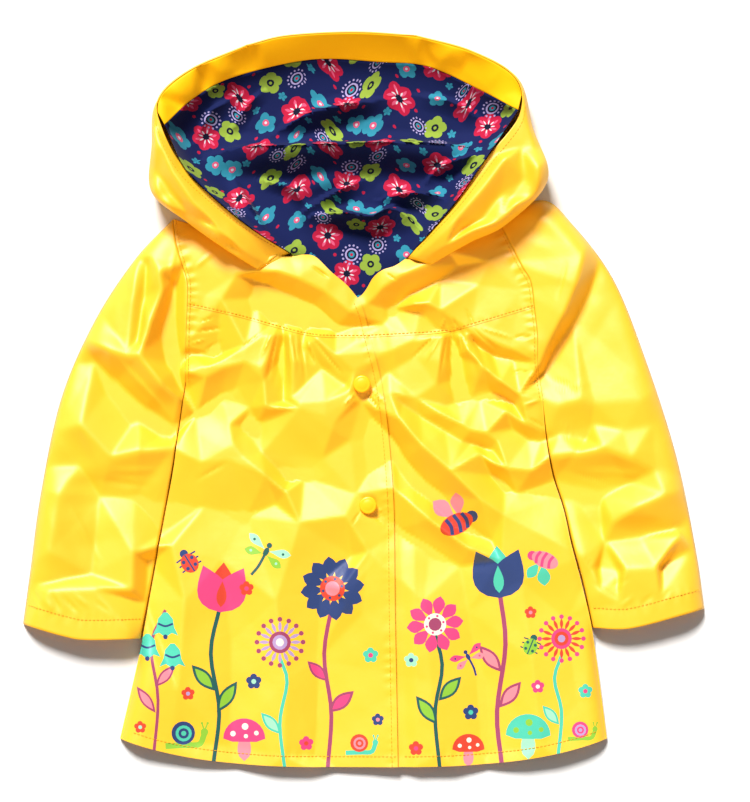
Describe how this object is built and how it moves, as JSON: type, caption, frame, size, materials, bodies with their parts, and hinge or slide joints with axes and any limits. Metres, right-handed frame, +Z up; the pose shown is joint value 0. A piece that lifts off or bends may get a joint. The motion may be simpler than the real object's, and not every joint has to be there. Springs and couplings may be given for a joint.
{
  "type": "child's hooded raincoat",
  "caption": "Toddler's yellow hooded raincoat laid flat on its back: yoked A-line fronts, snap placket, long sleeves and an open hood with printed lining.",
  "frame": {"origin": "centre of the laid coat's outline, on the surface it lies on", "axes": "+Z up from the surface, +Y from hem to hood, +X towards the right of the front view"},
  "size_m": [0.5719, 0.6159, 0.0489],
  "materials": {
    "yellow_cloth": "coated cotton rainwear, soft sheen, fine creases",
    "hem_print_cloth": "coated cotton rainwear with a flat flower print rising from the hem",
    "printed_lining": "light woven cotton, navy with an all-over small flower print",
    "snap_caps": "domed snap caps in the coat's yellow"
  },
  "bodies": {
    "root": {"back": "yellow_cloth", "front_left": "hem_print_cloth", "front_right": "hem_print_cloth", "yoke_left": "yellow_cloth", "yoke_right": "yellow_cloth", "sleeve_left": "yellow_cloth", "sleeve_right": "yellow_cloth", "hood_side_left": "yellow_cloth", "hood_centre": "yellow_cloth", "hood_side_right": "yellow_cloth", "hood_facing": "yellow_cloth", "hood_lining": "printed_lining", "neck_lining": "printed_lining", "button_upper": "snap_caps", "button_lower": "snap_caps"}
  },
  "joints": []
}
